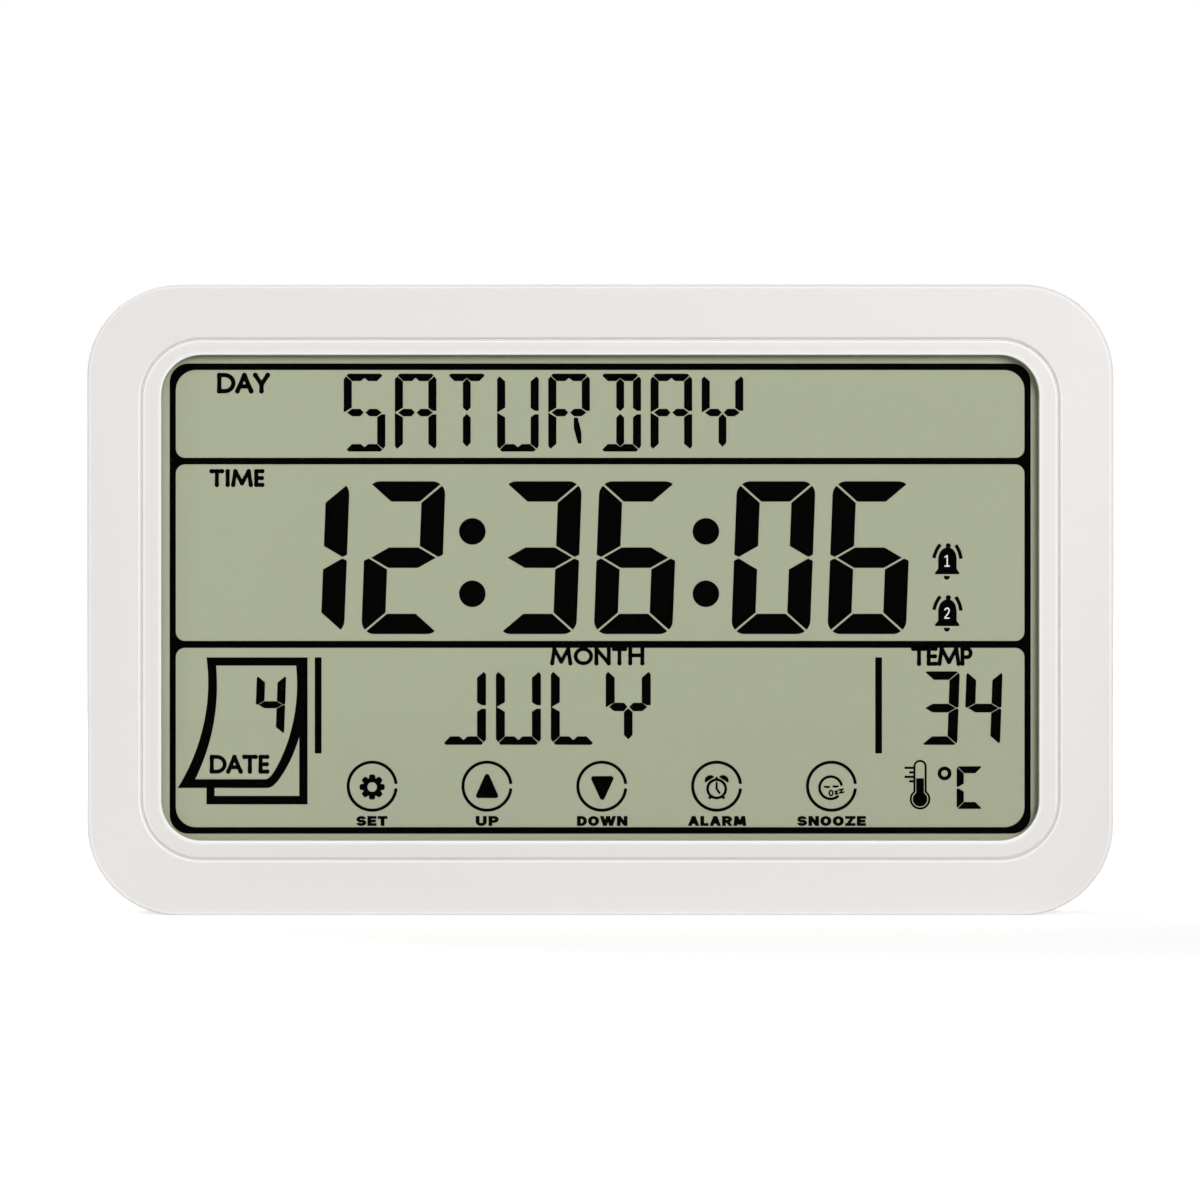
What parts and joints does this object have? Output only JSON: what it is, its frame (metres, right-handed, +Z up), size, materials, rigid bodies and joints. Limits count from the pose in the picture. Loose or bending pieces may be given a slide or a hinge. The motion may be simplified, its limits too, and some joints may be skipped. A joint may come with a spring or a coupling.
{
  "type": "dementia day clock",
  "caption": "Landscape day clock with a large segment display behind a clear touch lens, a fold-out stand, a sliding battery door and hanging holes.",
  "frame": {"origin": "under the middle of the case, on the surface that it stands on", "axes": "+X to the reader's right, +Y from the display towards the back, +Z up"},
  "size_m": [0.22, 0.025, 0.1353],
  "materials": {
    "white_abs": "fine satin moulded off-white ABS",
    "clear_acrylic": "clear, polished",
    "clear_film": "clear sensor film",
    "black_tape": "thin adhesive tape",
    "black_foam": "closed-cell foam",
    "lcd_green": "grey-green matt polarising film",
    "lcd_glass": "clear float glass",
    "silver_film": "silvery reflecting film",
    "grey_silicone": "banded conductive silicone",
    "ivory_abs": "plain moulded plastic",
    "zinc_steel": "bright zinc plate",
    "nickel_steel": "nickel plate",
    "green_board": "green solder mask",
    "black_resin": "cured resin",
    "ivory_nylon": "natural nylon",
    "black_sleeve": "shrunk sleeve",
    "black_ceramic": "glazed film on ceramic",
    "tan_ceramic": "fired ceramic",
    "black_plastic": "moulded case",
    "red_wire": "PVC insulation",
    "black_wire": "PVC insulation",
    "cell_sleeve": "plain printed sleeve"
  },
  "bodies": {
    "case": {"front_bezel": "white_abs", "lens_tape": "black_tape", "clear_lens": "clear_acrylic", "touch_film": "clear_film", "lcd_gasket": "black_foam", "lcd_front_polariser": "lcd_green", "lcd_front_glass": "lcd_glass", "lcd_rear_glass": "lcd_glass", "lcd_rear_reflector": "silver_film", "zebra_connector": "grey_silicone", "display_carrier": "ivory_abs", "carrier_screws": "zinc_steel", "main_board": "green_board", "board_screws": "zinc_steel", "controller_blob": "black_resin", "touch_chip": "black_resin", "flex_connector": "ivory_nylon", "watch_crystal": "nickel_steel", "electrolytic_capacitors": "black_sleeve", "chip_resistors": "black_ceramic", "chip_capacitors": "tan_ceramic", "thermistor": "black_resin", "buzzer": "black_plastic", "red_lead": "red_wire", "black_lead": "black_wire", "battery_top": "cell_sleeve", "battery_middle": "cell_sleeve", "battery_bottom": "cell_sleeve", "battery_springs": "nickel_steel", "positive_contact": "nickel_steel", "negative_contact": "nickel_steel", "bridge_contact_inner": "nickel_steel", "bridge_contact_outer": "nickel_steel", "rear_cover": "white_abs", "case_screws": "zinc_steel"},
    "battery_door": {"battery_door": "white_abs"},
    "stand": {"stand": "white_abs"}
  },
  "joints": [
    {"name": "stand_fold", "type": "hinge", "parent": "case", "child": "stand", "pos_m": [0, 0.0102, 0.07], "axis": [1, 0, 0], "range_deg": [0, 40]},
    {"name": "battery_door_slide", "type": "slide", "parent": "case", "child": "battery_door", "axis": [0, 0, -1], "range_m": [0, 0.038]}
  ]
}
